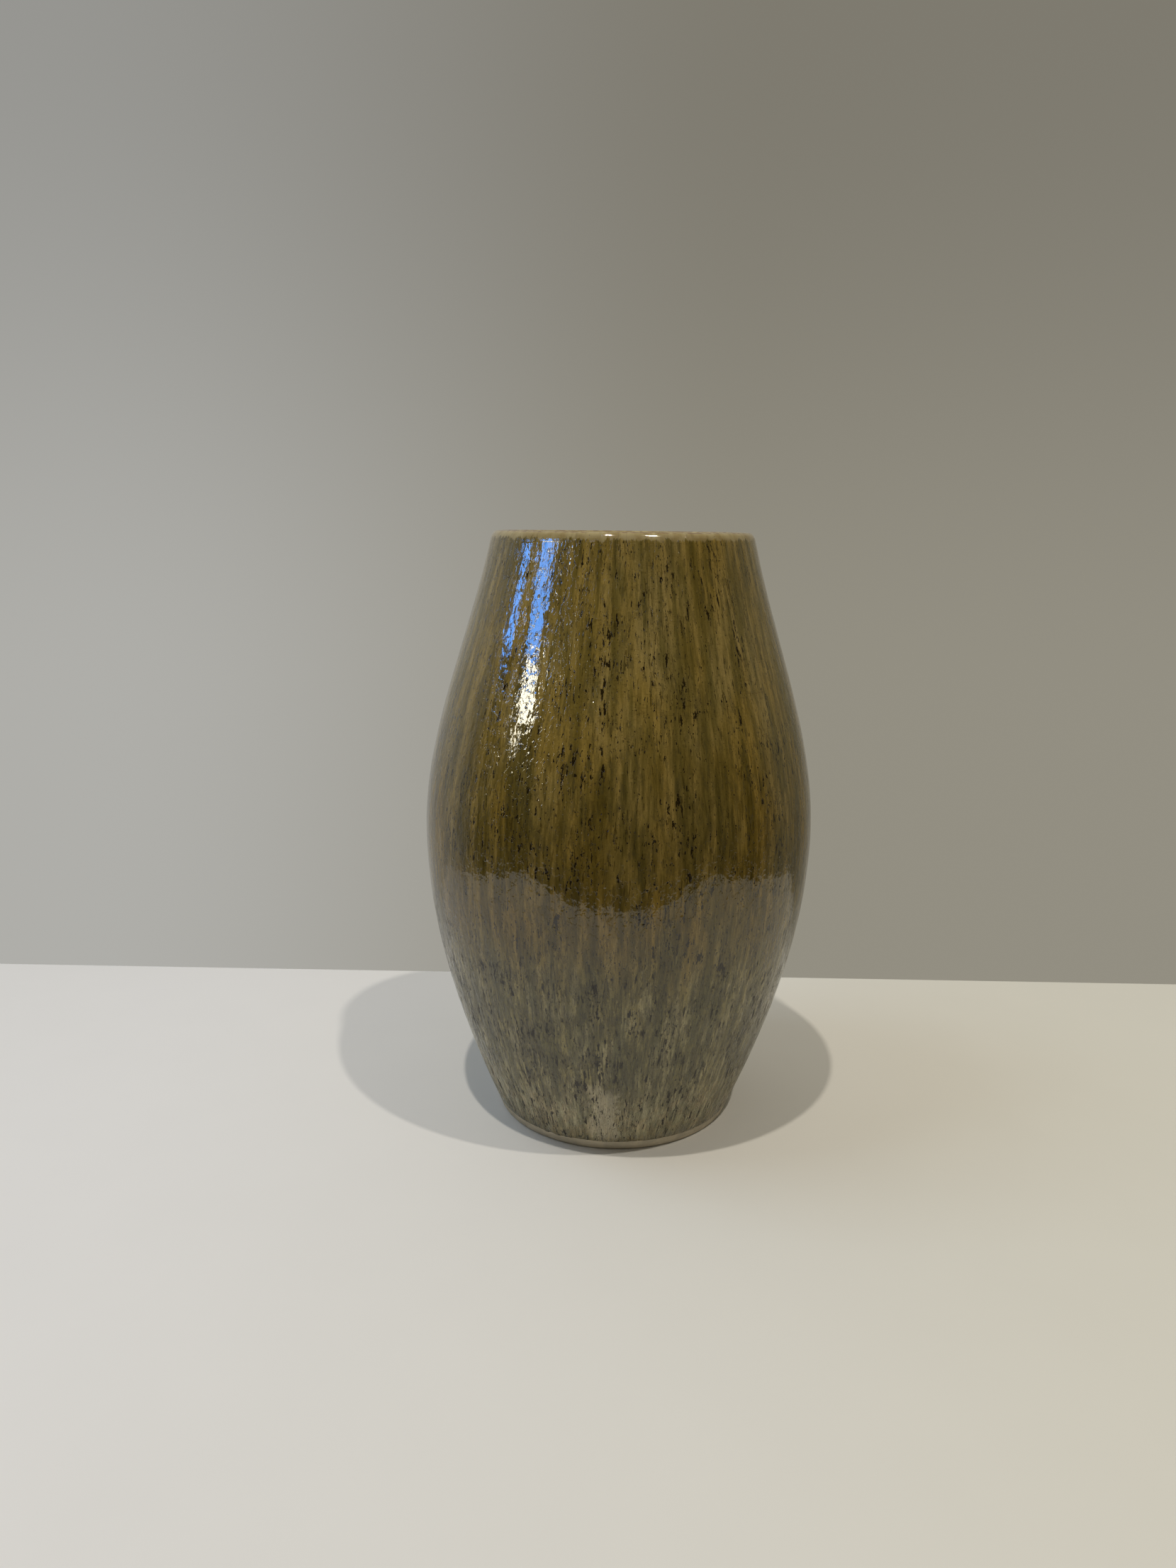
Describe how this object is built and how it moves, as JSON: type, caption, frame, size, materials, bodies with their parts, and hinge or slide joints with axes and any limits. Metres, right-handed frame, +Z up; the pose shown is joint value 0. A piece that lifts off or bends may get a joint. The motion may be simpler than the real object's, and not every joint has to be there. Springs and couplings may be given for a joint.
{
  "type": "vase",
  "caption": "Free-standing barrel-shaped stoneware vase with a wide rounded lip, streaked olive-brown gloss glaze outside and a bare wiped foot ring.",
  "frame": {"origin": "centre of the foot ring, on the surface that the vase stands on", "axes": "+Z up along the vase's axis; +X and +Y are the same all round, because the form is turned"},
  "size_m": [0.1844, 0.1844, 0.28],
  "materials": {
    "bare_clay": "unglazed stoneware, wiped smooth with a sponge, matt",
    "biscuit": "fired stoneware body, buff, matt",
    "streaked_glaze": "clear gloss over brushed vertical streaks of olive, tan and near black, pitted",
    "liner_glaze": "amber-brown gloss liner",
    "rim_glaze": "thin tan gloss breaking to reddish brown on the lip's edge"
  },
  "bodies": {
    "root": {"foot_ring": "bare_clay", "floor_slab": "biscuit", "body_wall": "biscuit", "lip_ring": "biscuit", "outer_glaze": "streaked_glaze", "inner_glaze": "liner_glaze", "lip_glaze": "rim_glaze"}
  },
  "joints": []
}
